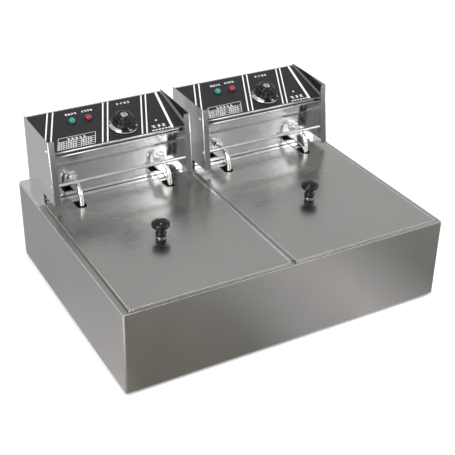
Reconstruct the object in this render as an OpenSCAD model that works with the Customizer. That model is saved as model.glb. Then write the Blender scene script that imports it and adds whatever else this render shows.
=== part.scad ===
// Countertop electric deep fryer with two tanks. One frame for every node: X to the right, the user
// stands at -Y, Z up, the origin on the table under the middle of the casing. Lengths in millimetres.

/* [Casing] */
// overall width of the casing
body_w = 570; // [540:1:690]
// overall depth of the casing
body_d = 445; // [420:1:540]
// height of the casing wall
body_h = 139; // [125:1:165]
// sheet thickness of the folded steel
sheet = 1; // [0.8:0.1:1.2]
// radius of the casing's upright corners
corner_r = 4; // [2:0.5:8]
// ledge turned in along each side
side_ledge = 20; // [18:1:24]
// ledge turned in along the front and rear
front_ledge = 16; // [14:1:20]
// height of the rubber feet under the casing
foot_h = 6; // [4:1:12]
// radius of a rubber foot
foot_r = 14; // [10:1:18]

/* [Lid] */
// height of the lid tops and the rear deck over the casing
raise = 4; // [3:0.5:6]
// gap between the two lids
lid_gap = 9; // [6:1:12]
// side edge of the casing to the edge of a lid
lid_inset = 11.5; // [9:0.5:14]
// front edge of the casing to the front of a lid
lid_front = 3.5; // [2:0.5:6]
// width of the notches for the heater legs
notch_w = 17; // [12:0.5:18]
// height of the lid knob
knob_h = 31; // [28:1:36]
// largest radius of the lid knob
knob_r = 15; // [13:0.5:18]
// sideways distance of the knob from the lid's middle
knob_x = -8; // [-20:1:20]
// distance of the knob from the lid's front edge
knob_back = 160; // [140:1:190]

/* [Tank] */
// depth of a tank below its flange
tank_h = 118; // [90:1:125]
// corner radius of a tank
tank_r = 24; // [12:1:40]

/* [Control head] */
// width of a control head
head_w = 254; // [236:1:264]
// height of the head over the deck at the rear
head_h = 121; // [108:1:140]
// how much the cheek's top drops to the front
cheek_drop = 2; // [1:1:16]
// angle of the control panel to the table
panel_tilt = 14; // [10:1:22]
// front-to-rear run of the control panel
panel_run = 104; // [96:1:110]
// width of the cheeks' front flanges
cheek_flange = 11; // [9:0.5:16]
// height of the cheek's front part over the lid
cheek_lift = 9; // [7:0.5:18]
// radius of the basket rail
rail_r = 3; // [2.5:0.5:4]

/* [Heater] */
// radius of the heater tube
tube_r = 4; // [3:0.2:5]
// sideways distance of a heater leg from the middle of the head
leg_x = 81; // [66:1.5:90]
// bend radius of the heater legs
leg_bend = 26; // [20:1:28]

/* [Controls] */
// radius of the dial's scale skirt
skirt_r = 25; // [20:1:28]
// radius of the dial's grip
grip_r = 20.5; // [14:0.5:21]
// radius of the pilot lamps
lamp_r = 6.5; // [5:0.5:8]
// radius of the thermostat shaft
shaft_r = 3; // [2.4:0.2:4]
// radial clearance round the turning shaft
shaft_gap = 0.06; // [0.03:0.01:0.1]
// radial clearance of screws and locating pins
hole_gap = 0.3; // [0.2:0.05:0.4]

/* [Hidden] */
$fn = 72;

z_case = foot_h;                    // underside of the casing
z_top = foot_h + body_h;            // top of the casing's ledges
z_lid = z_top + raise;              // top of the lids and of the rear deck
z_flange = z_top + sheet;           // top of the tank flanges
uc = (body_w / 2 - lid_inset + lid_gap / 2) / 2;   // middle of each tank, lid and head
lid_w = 2 * (uc - lid_gap / 2);
y_front = -body_d / 2;
y_rear = body_d / 2;
deck_d = 99.5;
y_deck = y_rear - deck_d;           // front edge of the rear deck
y_lid0 = y_front + lid_front;
y_lid1 = y_deck - 1;
bridge_w = lid_gap + 17;
// tank
tf_w = lid_w - 1;
tf_y0 = y_lid0 + 0.5;
tf_y1 = y_lid1 - 1;
tb_w = tf_w - 24;
tb_y0 = tf_y0 + 15.5;
tb_y1 = tf_y1 - 5;
z_tank = z_flange - tank_h;
// head
hw = head_w / 2;
y_h1 = y_rear - 4.5;                // rear edge of the cheeks
z_h0 = z_lid + sheet;               // underside of the head's shell
y_p1 = y_h1 - sheet;
y_p0 = y_p1 - panel_run;            // front edge of the panel
z_p1 = z_lid + head_h - 2;
z_p0 = z_p1 - panel_run * tan(panel_tilt);
lip_h = 9;
lip_in = 3;                         // depth of the shadow groove half-way down the lip
lip_rim = 3;                        // height of the rims over and under the groove
lip_d = 21;                         // how far the front wall stands back under the lip
y_wall = y_p0 + lip_d;              // outer face of the head's front wall
y_c0t = y_p0 - 8;                   // cheek front edge, top
y_c0b = y_p0 - 21;                  // cheek front edge, bottom
z_c1 = z_lid + head_h;
z_c0 = z_c1 - cheek_drop;
z_cb = z_lid + cheek_lift;
y_notch = y_wall + 11;
z_leg = z_lid + 34;                 // heater legs leave the wall
y_leg = y_wall - 44;                // heater legs go down through the lid
z_rail = z_leg + 7;
y_rail = y_c0b + (y_c0t - y_c0b) * (z_rail - z_cb) / (z_c0 - z_cb) + sheet + rail_r + 1;
z_run = z_tank + sheet + 16;        // heater runs over the tank floor
run_r = 14;
y_turn = tb_y0 + 52;
hair_r = leg_x / 3;
y_cover = y_h1 - 14;
y_clip = y_c0t + 9;                 // upper screw of each cheek, over the panel
z_clip = z_p0 + 6;
// controls, measured on the panel: u across from the head's middle, v up from its front edge
v_len = panel_run / cos(panel_tilt);
lamp_u = -56; lamp_v = 69; lamp_pitch = 29.5;
dial_u = 22; dial_v = 34;
label_t = 0.4;
// bosses and pins
pin_r = 3;
pin_x = hw - 9;
pin_y = (y_wall + y_cover) / 2;
screw_r = 2;
screw_head_r = 3.6;
screw_head_h = 1.8;
bask_w = tb_w - 34;
bask_y0 = tb_y0 + 22;
bask_y1 = y_leg - 24;
bask_z0 = z_run + tube_r;
bask_h = z_flange - 20 - bask_z0;
rod_r = 2;
bask_t = 1.6;
gland_r = 9;
cord_r = 4;
gland_x = -70;
gland_z = z_h0 + 40;
steel = [0.72, 0.72, 0.71];
bright = [0.82, 0.82, 0.83];
black = [0.09, 0.09, 0.1];

module slab(x0, x1, y0, y1, z0, z1) translate([x0, y0, z0]) cube([x1 - x0, y1 - y0, z1 - z0]);
module rr2(w, d, r) {
  square([w - 2 * r, d], center = true);
  square([w, d - 2 * r], center = true);
  for (sx = [-1, 1], sy = [-1, 1]) translate([sx * (w / 2 - r), sy * (d / 2 - r)]) circle(r);
}
module rr(x, y0, y1, z0, z1, w, r)
  translate([x, (y0 + y1) / 2, z0]) linear_extrude(z1 - z0) rr2(w, y1 - y0, r);
module rod_x(x0, x1, y, z, r) translate([x0, y, z]) rotate([0, 90, 0]) cylinder(r = r, h = x1 - x0);
module rod_y(x, y0, y1, z, r) translate([x, y1, z]) rotate([90, 0, 0]) cylinder(r = r, h = y1 - y0);
module rod_z(x, y, z0, z1, r) translate([x, y, z0]) cylinder(r = r, h = z1 - z0);
module yz(x0, x1) translate([x0, 0, 0]) rotate([90, 0, 90]) linear_extrude(x1 - x0) children();
module bend(a0, a1, R, r) rotate([0, 0, a0]) rotate_extrude(angle = a1 - a0) translate([R, 0]) circle(r);
// the panel's own frame: x across, y up the slope, z out of its face
module on_panel(s, u, v)
  translate([s * uc + u, y_p0 + v * cos(panel_tilt), z_p0 + v * sin(panel_tilt)])
    rotate([panel_tilt, 0, 0]) children();

// ---------------------------------------------------------------- casing
foot_x = body_w / 2 - 48;
foot_y = body_d / 2 - 45;
module screw_at(list) for (p = list) translate([p[0], p[1], 0]) children();
pan_x = body_w / 2 - 8;
pan_y = body_d / 2 - 8;
pan_screws = [[-pan_x, -120], [-pan_x, 120], [pan_x, -120], [pan_x, 120],
  [-150, -pan_y], [150, -pan_y], [-150, pan_y], [150, pan_y]];

module casing_shell() color(steel) difference() {
  rr(0, y_front, y_rear, z_case, z_top, body_w, corner_r);
  rr(0, y_front + sheet, y_rear - sheet, z_case + sheet, z_top - sheet, body_w - 2 * sheet, corner_r - sheet);
  slab(-body_w / 2 + side_ledge, body_w / 2 - side_ledge, y_front + front_ledge, y_rear - front_ledge,
    z_top - 2, z_top + 1);
  slab(-body_w / 2 + 15, body_w / 2 - 15, y_front + 15, y_rear - 15, z_case - 1, z_case + 2);
  screw_at(pan_screws) cylinder(r = screw_r + hole_gap, h = z_case + 3);
}
module base_pan() color(steel) difference() {
  rr(0, y_front + 2, y_rear - 2, z_case + sheet, z_case + 2 * sheet, body_w - 4, corner_r);
  screw_at(pan_screws) cylinder(r = screw_r + hole_gap, h = z_case + 9);
  for (sx = [-1, 1], sy = [-1, 1]) translate([sx * foot_x, sy * foot_y, 0])
    cylinder(r = screw_r + hole_gap, h = z_case + 9);
  for (s = [-1, 1], i = [-3 : 3])
    slab(s * uc - 30, s * uc + 30, i * 16 - 2.5, i * 16 + 2.5, z_case, z_case + 4);
}
module rubber_feet() color(black) for (sx = [-1, 1], sy = [-1, 1]) translate([sx * foot_x, sy * foot_y, 0]) {
  rotate_extrude() polygon([[0, 0], [foot_r - 2, 0], [foot_r, z_case + sheet], [0, z_case + sheet]]);
  cylinder(r = screw_r, h = z_case + 2 * sheet + 3);
}
module body_screws() color(bright) screw_at(pan_screws) {
  translate([0, 0, z_case - 2.2]) cylinder(r = 3.6, h = 2.2);
  translate([0, 0, z_case - 1]) cylinder(r = screw_r, h = 1 + 2 * sheet + 5);
  translate([0, 0, z_case + 2 * sheet]) cylinder(r = 3.9, h = 3.2, $fn = 6);
}
module rear_deck() color(steel) difference() {
  union() {
    difference() {
      slab(-body_w / 2 + 2, body_w / 2 - 2, y_deck, y_rear - 1, z_top, z_lid);
      slab(-body_w / 2 + 2 + sheet, body_w / 2 - 2 - sheet, y_deck + sheet, y_rear - 1 - sheet,
        z_top - 1, z_lid - sheet);
    }
    slab(-body_w / 2 + side_ledge + 0.5, body_w / 2 - side_ledge - 0.5, tb_y1 + 1, y_deck + sheet,
      z_top - sheet, z_top);
  }
  for (s = [-1, 1], p = [-1, 1]) rod_z(s * uc + p * pin_x, pin_y, z_lid - 3, z_lid + 1, pin_r + hole_gap);
  for (s = [-1, 1]) slab(s * uc - 30, s * uc + 30, pin_y - 12, pin_y + 12, z_lid - 3, z_lid + 1);
}
module centre_bridge() color(steel) {
  slab(-bridge_w / 2, bridge_w / 2, y_front + front_ledge, tb_y1 + 1, z_top - sheet, z_top);
  for (x0 = [-bridge_w / 2, bridge_w / 2 - sheet])
    slab(x0, x0 + sheet, y_front + front_ledge, tb_y1 + 1, z_top - 26, z_top - sheet);
  slab(-bridge_w / 2, bridge_w / 2, y_front + sheet, y_front + front_ledge + 6,
    z_top - 2 * sheet, z_top - sheet);
  slab(-bridge_w / 2, bridge_w / 2, tb_y1 - 5, y_deck + sheet, z_top - 2 * sheet, z_top - sheet);
}

// ---------------------------------------------------------------- tank and lid
module tank(s) color(steel) translate([s * uc, 0, 0]) difference() {
  union() {
    rr(0, tf_y0, tf_y1, z_flange - sheet, z_flange, tf_w, 3);
    rr(0, tb_y0, tb_y1, z_tank, z_flange - sheet / 2, tb_w, tank_r);
  }
  rr(0, tb_y0 + sheet, tb_y1 - sheet, z_tank + sheet, z_flange + 1, tb_w - 2 * sheet, tank_r - sheet);
}
knob_y = y_lid0 + knob_back;
ferrule_h = 3;
foot_bead = 4.2;                    // the bead's round
foot_x0 = 9 - foot_bead;
cap_round = 5.2;                    // the cap's round
cap_x0 = knob_r - cap_round;
cap_z0 = knob_h - ferrule_h - 8;
module lid(s) color(steel) translate([s * uc, 0, 0]) difference() {
  rr(0, y_lid0, y_lid1, z_flange, z_lid, lid_w, 2.5);
  slab(-lid_w / 2 + sheet, lid_w / 2 - sheet, y_lid0 + sheet, y_lid1 + 1, z_flange - 1, z_lid - sheet);
  for (sx = [-1, 1]) {
    slab(sx * leg_x - notch_w / 2, sx * leg_x + notch_w / 2, y_leg + 1, y_lid1 + 1, z_flange - 1, z_lid + 1);
    rod_z(sx * leg_x, y_leg + 1, z_flange - 1, z_lid + 1, notch_w / 2);
  }
  rod_z(knob_x, knob_y, z_flange - 1, z_lid + 1, screw_r + hole_gap);
}
module lid_ferrule(s) color(bright) translate([s * uc + knob_x, knob_y, z_lid]) rotate_extrude()
  polygon([[screw_r + hole_gap, 0], [8.8, 0], [8.8, 1.4], [8, ferrule_h], [screw_r + hole_gap, ferrule_h]]);
// turned knob: a bead at the foot, a short neck and a mushroom cap
module lid_knob(s) color(black) translate([s * uc + knob_x, knob_y, z_lid + ferrule_h])
  rotate_extrude() difference() {
    union() {
      translate([foot_x0, foot_bead]) circle(foot_bead);
      square([foot_x0, 2 * foot_bead]);
      square([6.6, cap_z0]);
      translate([cap_x0, cap_z0]) circle(cap_round);
      polygon([[0, cap_z0 - 4.4], [cap_x0, cap_z0 - cap_round], [cap_x0, cap_z0 + cap_round],
        [5, knob_h - ferrule_h - 0.4], [0, knob_h - ferrule_h]]);
    }
    translate([-20, -1]) square([20, 60]);
    translate([-1, -1]) square([1 + screw_r + 0.02, 15]);
  }
module lid_screw(s) color(bright) translate([s * uc + knob_x, knob_y, 0]) {
  rod_z(0, 0, z_lid - sheet - 1.6, z_lid - sheet, 4.2);
  rod_z(0, 0, z_lid - sheet - 1, z_lid + 15, screw_r);
}

// ---------------------------------------------------------------- control head
module head_shell(s) color(steel) difference() {
  yz(s * uc - hw + sheet, s * uc + hw - sheet) polygon([
    [y_p1, z_h0], [y_wall, z_h0], [y_wall, z_p0 - lip_h], [y_p0, z_p0 - lip_h],
    [y_p0, z_p0 - lip_h + lip_rim], [y_p0 + lip_in, z_p0 - lip_h + lip_rim],
    [y_p0 + lip_in, z_p0 - lip_rim], [y_p0, z_p0 - lip_rim], [y_p0, z_p0],
    [y_p1, z_p1], [y_p1, z_p1 - 7], [y_p1 - sheet, z_p1 - 7],
    [y_p1 - sheet, z_p1 - sheet * tan(panel_tilt) - sheet / cos(panel_tilt)],
    [y_p0 + lip_in + sheet, z_p0 + (lip_in + sheet) * tan(panel_tilt) - sheet / cos(panel_tilt)],
    [y_p0 + lip_in + sheet, z_p0 - lip_h + sheet], [y_wall + sheet, z_p0 - lip_h + sheet],
    [y_wall + sheet, z_h0 + sheet], [y_p1, z_h0 + sheet]]);
  on_panel(s, lamp_u, lamp_v) translate([0, 0, -3]) cylinder(r = lamp_r, h = 6);
  on_panel(s, lamp_u + lamp_pitch, lamp_v) translate([0, 0, -3]) cylinder(r = lamp_r, h = 6);
  on_panel(s, dial_u, dial_v) translate([0, 0, -3]) cylinder(r = shaft_r + 1, h = 6);
  for (sx = [-1, 1]) rod_y(s * uc + sx * leg_x, y_wall - 1, y_wall + 3, z_leg, tube_r + hole_gap);
  rod_y(s * uc + leg_x, y_wall - 1, y_wall + 3, z_leg - 26, 1.2 + hole_gap);
}
// side plate with its turned-in front flange; m = -1 is the left one, 1 the right one
module cheek(s, m) {
  x0 = s * uc + m * hw - (m > 0 ? sheet : 0);
  f0 = s * uc + m * hw - (m > 0 ? cheek_flange : 0);
  b0 = s * uc + m * hw - (m > 0 ? 16 : 0);
  color(steel) difference() {
    union() {
      yz(x0, x0 + sheet) polygon([[y_h1, z_lid], [y_h1, z_c1], [y_c0t, z_c0], [y_c0b, z_cb],
        [y_notch, z_cb], [y_notch, z_lid]]);
      yz(f0, f0 + cheek_flange) polygon([[y_c0t, z_c0], [y_c0t + sheet, z_c0 - 1],
        [y_c0b + sheet, z_cb], [y_c0b, z_cb]]);
      slab(b0, b0 + 16, y_notch + 6, y_cover - 6, z_lid, z_lid + sheet);
    }
    rod_x(x0 - 1, x0 + sheet + 1, y_rail, z_rail, screw_r + hole_gap);
    rod_x(x0 - 1, x0 + sheet + 1, y_clip, z_clip, screw_r + hole_gap);
    translate([s * uc + m * (hw - cheek_flange), 0, z_cb]) difference() {
      slab(-m * 8 - 8, -m * 8 + 8, y_c0b - 4, y_c0b + 6, -1, 8);
      translate([m * 8, y_c0b + 9, 8]) rotate([90, 0, 0]) cylinder(r = 8, h = 16);
      slab(m * 12 - 4, m * 12 + 4, y_c0b - 5, y_c0b + 7, -2, 9);
    }
  }
}
module rear_cover(s) color(steel) difference() {
  union() {
    slab(s * uc - hw + sheet, s * uc + hw - sheet, y_cover, y_cover + sheet, z_h0 + sheet,
      z_p0 + (y_cover - y_p0) * tan(panel_tilt) - sheet / cos(panel_tilt));
    slab(s * uc - hw + sheet, s * uc + hw - sheet, y_cover, y_cover + 10, z_h0 + sheet, z_h0 + 2 * sheet);
  }
  for (i = [-4 : 4], j = [0, 1])
    slab(s * uc + i * 9 + 18, s * uc + i * 9 + 22, y_cover - 1, y_cover + 2,
      z_h0 + 24 + j * 34, z_h0 + 48 + j * 34);
  rod_y(s * uc + gland_x, y_cover - 1, y_cover + 2, gland_z, 7);
}
module cable_gland(s) color(black) translate([s * uc + gland_x, 0, gland_z]) difference() {
  union() {
    rod_y(0, y_cover - 8, y_cover + 12, 0, 7);
    translate([0, y_cover + sheet + 5, 0]) rotate([90, 0, 0]) cylinder(r = gland_r + 1, h = 5, $fn = 6);
    translate([0, y_cover, 0]) rotate([90, 0, 0]) cylinder(r = gland_r, h = 4, $fn = 6);
  }
  rod_y(0, y_cover - 9, y_cover + 13, 0, cord_r);
}
module panel_label(s) color([0.12, 0.12, 0.13]) difference() {
  on_panel(s, 0, 0) linear_extrude(label_t)
    polygon([[4 - hw, 2], [hw - 4, 2], [hw - 4, v_len - 3], [4 - hw, v_len - 3]]);
  on_panel(s, lamp_u, lamp_v) translate([0, 0, -3]) cylinder(r = lamp_r, h = 6);
  on_panel(s, lamp_u + lamp_pitch, lamp_v) translate([0, 0, -3]) cylinder(r = lamp_r, h = 6);
  on_panel(s, dial_u, dial_v) translate([0, 0, -3]) cylinder(r = shaft_r + 1, h = 6);
}
module lamp(s, i, c) color(c) on_panel(s, lamp_u + i * lamp_pitch, lamp_v) rotate_extrude() difference() {
  union() {
    translate([0, -22]) square([lamp_r, 24]);
    translate([0, label_t]) square([lamp_r + 0.8, 1]);
    translate([0, 1.4]) difference() { circle(lamp_r - 0.5); translate([-9, -9]) square([18, 9]); }
    translate([0, -5]) square([lamp_r + 2, 3.4]);
  }
  translate([-20, -30]) square([20, 60]);
}
module dial_at(s) on_panel(s, dial_u, dial_v) children();
module dial_skirt(s) color(bright) dial_at(s) translate([0, 0, label_t + 0.8]) rotate_extrude()
  polygon([[shaft_r + 4, 0], [skirt_r, 0], [skirt_r, 2.2], [grip_r + 1.5, 6], [shaft_r + 4, 6]]);
module dial_grip(s) color(black) dial_at(s) translate([0, 0, label_t + 6.8]) difference() {
  union() {
    linear_extrude(5) { circle(grip_r); translate([-1.6, -grip_r - 2.5]) square([3.2, 8]); }
    translate([0, 0, 5]) linear_extrude(12) {
      circle(grip_r - 2.6);
      for (i = [0 : 9]) rotate([0, 0, i * 36 + 9]) translate([grip_r - 3.4, 0]) circle(2.4);
    }
  }
  translate([0, 0, -1]) cylinder(r = shaft_r + shaft_gap, h = 14);
  translate([0, 0, 15.4]) cylinder(r = 6.05, h = 3);
}
module dial_cap(s) color(bright) dial_at(s) translate([0, 0, label_t + 22.2]) {
  cylinder(r = 6, h = 1.6);
  translate([0, 0, 1.6]) rotate_extrude() polygon([[0, 0], [6, 0], [4.6, 1], [0, 1.2]]);
}
module thermostat(s) color([0.75, 0.72, 0.66]) dial_at(s) difference() {
  union() {
    slab(-22, 22, -11, 29, -36, -12);
    translate([0, 0, -12]) cylinder(r = 8, h = 12 - sheet);
    translate([0, 0, -12]) cylinder(r = shaft_r, h = 12 + label_t + 19);
  }
  slab(-24, 24, 23, 30, -37, -28);
}
module terminal_block(s) color([0.85, 0.84, 0.8]) difference() {
  slab(s * uc - 66, s * uc - 6, y_wall + 30, y_wall + 50, z_h0 + sheet, z_h0 + sheet + 18);
  for (i = [0 : 3]) slab(s * uc - 62 + i * 14, s * uc - 52 + i * 14, y_wall + 33, y_wall + 47,
    z_h0 + sheet + 10, z_h0 + sheet + 20);
}
module hanger_rail(s) color(bright) difference() {
  rod_x(s * uc - hw + sheet, s * uc + hw - sheet, y_rail, z_rail, rail_r);
  for (x = [s * uc - hw + sheet, s * uc + hw - sheet]) rod_x(x - 10, x + 10, y_rail, z_rail, screw_r - 0.3);
}
module cheek_screws(s) color(bright) for (m = [-1, 1]) {
  x = s * uc + m * hw;
  rod_x(m > 0 ? x : x - screw_head_h, m > 0 ? x + screw_head_h : x, y_rail, z_rail, screw_head_r);
  rod_x(m > 0 ? x - sheet - 8 : x - 1, m > 0 ? x + 1 : x + sheet + 8, y_rail, z_rail, screw_r - 0.3);
  rod_x(m > 0 ? x : x - screw_head_h, m > 0 ? x + screw_head_h : x, y_clip, z_clip, screw_head_r);
  rod_x(m > 0 ? x - sheet - 3 : x - 1, m > 0 ? x + 1 : x + sheet + 3, y_clip, z_clip, screw_r - 0.3);
  translate([m > 0 ? x - sheet - 2.4 : x + sheet, y_clip, z_clip]) rotate([0, 90, 0])
    cylinder(r = screw_head_r, h = 2.4, $fn = 6);
}

// ---------------------------------------------------------------- heater
turn_r = hair_r - 4;
y_back = y_leg - 50;                // the inner runs turn back here
module heating_element(s) color([0.8, 0.8, 0.8]) translate([s * uc, 0, 0]) {
  for (m = [-1, 1]) {
    rod_y(m * leg_x, y_leg + leg_bend, y_wall + 16, z_leg, tube_r);
    translate([m * leg_x, y_leg + leg_bend, z_leg - leg_bend]) rotate([90, 0, 90])
      bend(90, 180, leg_bend, tube_r);
    rod_z(m * leg_x, y_leg, z_run + run_r, z_leg - leg_bend, tube_r);
    translate([m * leg_x, y_leg - run_r, z_run + run_r]) rotate([90, 0, 90]) bend(-90, 0, run_r, tube_r);
    rod_y(m * leg_x, y_turn, y_leg - run_r, z_run, tube_r);
    // hairpin at the front, out to in
    translate([m * (leg_x - turn_r), y_turn, z_run])
      bend(m > 0 ? 270 : 180, m > 0 ? 360 : 270, turn_r, tube_r);
    rod_x(m > 0 ? hair_r + turn_r : turn_r - leg_x, m > 0 ? leg_x - turn_r : -hair_r - turn_r,
      y_turn - turn_r, z_run, tube_r);
    translate([m * (hair_r + turn_r), y_turn, z_run])
      bend(m > 0 ? 180 : 270, m > 0 ? 270 : 360, turn_r, tube_r);
    rod_y(m * hair_r, y_turn, y_back, z_run, tube_r);
    // hairpin at the rear
    translate([m * (hair_r - turn_r), y_back, z_run])
      bend(m > 0 ? 0 : 90, m > 0 ? 90 : 180, turn_r, tube_r);
  }
  rod_x(turn_r - hair_r, hair_r - turn_r, y_back + turn_r, z_run, tube_r);
}
module element_nuts(s) color(bright) for (m = [-1, 1])
  translate([s * uc + m * leg_x, 0, z_leg]) difference() {
    union() {
      translate([0, y_wall - 1, 0]) rotate([90, 0, 0]) cylinder(r = 9, h = 6, $fn = 6);
      rod_y(0, y_wall - 1, y_wall, 0, 11);
      rod_y(0, y_wall - 9, y_wall - 7, 0, 6.5);
    }
    rod_y(0, y_wall - 12, y_wall + 2, 0, tube_r + 0.02);
  }
cap_z = z_leg - 26;
cap_y = y_leg + 7;
module sensor_bulb(s) color(bright) translate([s * uc + leg_x, 0, 0]) {
  rod_y(0, cap_y + 8, y_wall + 12, cap_z, 1.2);
  translate([0, cap_y + 8, cap_z - 8]) rotate([90, 0, 90]) bend(90, 180, 8, 1.2);
  rod_z(0, cap_y, z_top - 12, cap_z - 8, 1.2);
  translate([-6, cap_y, z_top - 12]) rotate([90, 0, 0]) bend(-90, 0, 6, 1.2);
  rod_x(-10, -6, cap_y, z_top - 18, 1.2);
  translate([-10, cap_y, z_top - 24]) rotate([90, 0, 0]) bend(90, 180, 6, 1.2);
  rod_z(-16, cap_y, z_top - 32, z_top - 24, 1.2);
  rod_z(-16, cap_y, z_top - 88, z_top - 32, 2.8);
}

// ---------------------------------------------------------------- basket
// the wire mesh is taken as a solid sheet
module basket(s) color(bright) translate([s * uc, 0, 0]) difference() {
  rr(0, bask_y0, bask_y1, bask_z0, bask_z0 + bask_h, bask_w, 14);
  rr(0, bask_y0 + bask_t, bask_y1 - bask_t, bask_z0 + bask_t, bask_z0 + bask_h + 1,
    bask_w - 2 * bask_t, 14 - bask_t);
}
module basket_frame(s) color(bright) translate([s * uc, 0, bask_z0 + bask_h + rod_r]) {
  fw = bask_w / 2 - 12; y0 = bask_y0 + 12; y1 = bask_y1 - 12;
  for (m = [-1, 1]) {
    rod_y(m * (bask_w / 2), y0, y1, 0, rod_r);
    translate([m * fw, y0, 0]) bend(m > 0 ? -90 : 180, m > 0 ? 0 : 270, 12, rod_r);
    translate([m * fw, y1, 0]) bend(m > 0 ? 0 : 90, m > 0 ? 90 : 180, 12, rod_r);
    // hooks that hold the basket on the rail while it drains
    rod_z(m * 40, bask_y1, 0, 10, rod_r);
    translate([m * 40, bask_y1 + 6, 10]) rotate([90, 0, 90]) bend(90, 180, 6, rod_r);
    rod_y(m * 40, bask_y1 + 6, bask_y1 + 9, 16, rod_r);
    // grip at the front
    rod_z(m * 30, bask_y0, 0, 8, rod_r);
  }
  rod_x(-fw, fw, bask_y0, 0, rod_r);
  rod_x(-fw, fw, bask_y1, 0, rod_r);
  rod_x(-24, 24, bask_y0, 14, rod_r);
  translate([-24, bask_y0, 8]) rotate([90, 0, 0]) bend(90, 180, 6, rod_r);
  translate([24, bask_y0, 8]) rotate([90, 0, 0]) bend(0, 90, 6, rod_r);
}

module left_tank() tank(-1);
module left_lid() lid(-1);
module left_lid_knob() lid_knob(-1);
module left_lid_ferrule() lid_ferrule(-1);
module left_lid_screw() lid_screw(-1);
module left_head_shell() head_shell(-1);
module left_head_cheek_l() head_cheek(-1, -1);
module left_head_cheek_r() head_cheek(-1, 1);
module left_rear_cover() rear_cover(-1);
module left_panel_label() panel_label(-1);
module left_green_lamp() lamp(-1, 0, [0.05, 0.45, 0.38]);
module left_red_lamp() lamp(-1, 1, [0.5, 0.04, 0.06]);
module left_dial_grip() dial_grip(-1);
module left_dial_skirt() dial_skirt(-1);
module left_dial_cap() dial_cap(-1);
module left_thermostat() thermostat(-1);
module left_terminal_block() terminal_block(-1);
module left_heating_element() heating_element(-1);
module left_element_nuts() element_nuts(-1);
module left_sensor_bulb() sensor_bulb(-1);
module left_hanger_rail() hanger_rail(-1);
module left_cheek_screws() cheek_screws(-1);
module left_cable_gland() cable_gland(-1);
module left_basket() basket(-1);
module left_basket_frame() basket_frame(-1);
module right_tank() tank(1);
module right_lid() lid(1);
module right_lid_knob() lid_knob(1);
module right_lid_ferrule() lid_ferrule(1);
module right_lid_screw() lid_screw(1);
module right_head_shell() head_shell(1);
module right_head_cheek_l() head_cheek(1, -1);
module right_head_cheek_r() head_cheek(1, 1);
module right_rear_cover() rear_cover(1);
module right_panel_label() panel_label(1);
module right_green_lamp() lamp(1, 0, [0.05, 0.45, 0.38]);
module right_red_lamp() lamp(1, 1, [0.5, 0.04, 0.06]);
module right_dial_grip() dial_grip(1);
module right_dial_skirt() dial_skirt(1);
module right_dial_cap() dial_cap(1);
module right_thermostat() thermostat(1);
module right_terminal_block() terminal_block(1);
module right_heating_element() heating_element(1);
module right_element_nuts() element_nuts(1);
module right_sensor_bulb() sensor_bulb(1);
module right_hanger_rail() hanger_rail(1);
module right_cheek_screws() cheek_screws(1);
module right_cable_gland() cable_gland(1);
module right_basket() basket(1);
module right_basket_frame() basket_frame(1);
module head_cheek(s, m) {
  cheek(s, m);
  // locating pin in the cheek's foot, down into the deck
  color(bright) rod_z(s * uc + m * pin_x, pin_y, z_lid - 2.5, z_lid + sheet, pin_r);
}

casing_shell();
base_pan();
rear_deck();
centre_bridge();
rubber_feet();
body_screws();
left_tank();
left_lid();
left_lid_knob();
left_lid_ferrule();
left_lid_screw();
left_head_shell();
left_head_cheek_l();
left_head_cheek_r();
left_rear_cover();
left_panel_label();
left_green_lamp();
left_red_lamp();
left_dial_grip();
left_dial_skirt();
left_dial_cap();
left_thermostat();
left_terminal_block();
left_heating_element();
left_element_nuts();
left_sensor_bulb();
left_hanger_rail();
left_cheek_screws();
left_cable_gland();
left_basket();
left_basket_frame();
right_tank();
right_lid();
right_lid_knob();
right_lid_ferrule();
right_lid_screw();
right_head_shell();
right_head_cheek_l();
right_head_cheek_r();
right_rear_cover();
right_panel_label();
right_green_lamp();
right_red_lamp();
right_dial_grip();
right_dial_skirt();
right_dial_cap();
right_thermostat();
right_terminal_block();
right_heating_element();
right_element_nuts();
right_sensor_bulb();
right_hanger_rail();
right_cheek_screws();
right_cable_gland();
right_basket();
right_basket_frame();
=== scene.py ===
"""Double countertop deep fryer: looks, floor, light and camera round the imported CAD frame."""
import math
import random

import bmesh
import bpy
from mathutils import Matrix, Vector


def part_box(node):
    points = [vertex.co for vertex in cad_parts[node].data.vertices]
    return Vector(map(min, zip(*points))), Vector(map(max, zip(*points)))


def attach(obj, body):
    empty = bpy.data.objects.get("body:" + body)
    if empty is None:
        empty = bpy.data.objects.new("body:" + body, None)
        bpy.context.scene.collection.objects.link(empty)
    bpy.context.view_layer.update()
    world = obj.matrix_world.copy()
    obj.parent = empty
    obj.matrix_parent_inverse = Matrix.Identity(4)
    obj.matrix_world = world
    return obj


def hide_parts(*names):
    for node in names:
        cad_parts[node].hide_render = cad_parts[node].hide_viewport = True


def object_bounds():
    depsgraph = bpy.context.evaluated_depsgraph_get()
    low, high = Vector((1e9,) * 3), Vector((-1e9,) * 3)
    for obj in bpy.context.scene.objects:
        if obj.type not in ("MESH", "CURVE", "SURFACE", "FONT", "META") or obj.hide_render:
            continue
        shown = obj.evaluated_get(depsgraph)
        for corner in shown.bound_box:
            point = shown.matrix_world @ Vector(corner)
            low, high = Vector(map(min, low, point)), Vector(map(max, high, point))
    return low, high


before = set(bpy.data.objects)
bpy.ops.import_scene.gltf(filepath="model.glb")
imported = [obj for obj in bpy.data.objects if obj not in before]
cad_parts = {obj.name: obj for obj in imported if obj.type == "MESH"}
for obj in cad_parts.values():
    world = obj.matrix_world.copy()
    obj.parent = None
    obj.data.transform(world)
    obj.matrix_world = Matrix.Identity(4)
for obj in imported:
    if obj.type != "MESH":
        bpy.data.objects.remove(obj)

CAD_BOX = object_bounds()
SIDES = ("left", "right")
MM = 0.001

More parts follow.
